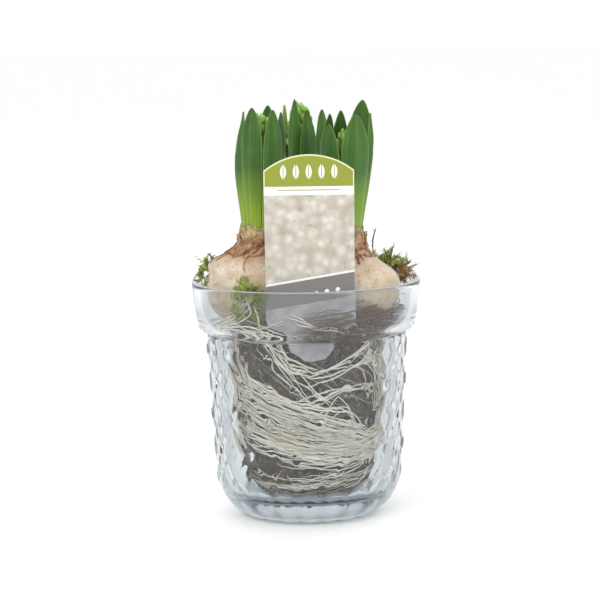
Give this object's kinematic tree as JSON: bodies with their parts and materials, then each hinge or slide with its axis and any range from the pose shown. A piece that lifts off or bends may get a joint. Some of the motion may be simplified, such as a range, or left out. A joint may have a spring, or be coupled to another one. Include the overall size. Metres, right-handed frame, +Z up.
{
  "type": "potted hyacinths in bud in a glass pot",
  "caption": "Hyacinth bulbs with leaves and green flower buds on a rooted soil ball, with moss and a plain plant label, standing in a clear pressed glass pot.",
  "frame": {"origin": "middle of the glass pot's foot, on the surface that it stands on", "axes": "+Z up out of the pot, -Y towards the viewer and the label, +X to the viewer's right"},
  "size_m": [0.13, 0.13, 0.235],
  "materials": {
    "glass": "polished",
    "soil": "matte",
    "bulb": "satin",
    "root": "satin",
    "leaf": "satin",
    "bud": "satin",
    "moss": "matte",
    "label": "gloss"
  },
  "bodies": {
    "root": {"glass_pot": "glass", "soil": "soil", "bulb_left": "bulb", "roots_left": "root", "flower_left": "bud", "bulb_right": "bulb", "roots_right": "root", "flower_right": "bud", "bulb_back": "bulb", "roots_back": "root", "flower_back": "bud", "leaf_left_1": "leaf", "leaf_left_2": "leaf", "leaf_left_3": "leaf", "leaf_left_4": "leaf", "leaf_left_5": "leaf", "leaf_right_1": "leaf", "leaf_right_2": "leaf", "leaf_right_3": "leaf", "leaf_right_4": "leaf", "leaf_right_5": "leaf", "leaf_right_6": "leaf", "leaf_back_1": "leaf", "leaf_back_2": "leaf", "leaf_back_3": "leaf", "leaf_back_4": "leaf", "leaf_back_5": "leaf", "moss_left": "moss", "moss_right": "moss", "moss_front": "moss", "moss_rear_left": "moss", "moss_rear_right": "moss", "label": "label"}
  },
  "joints": []
}
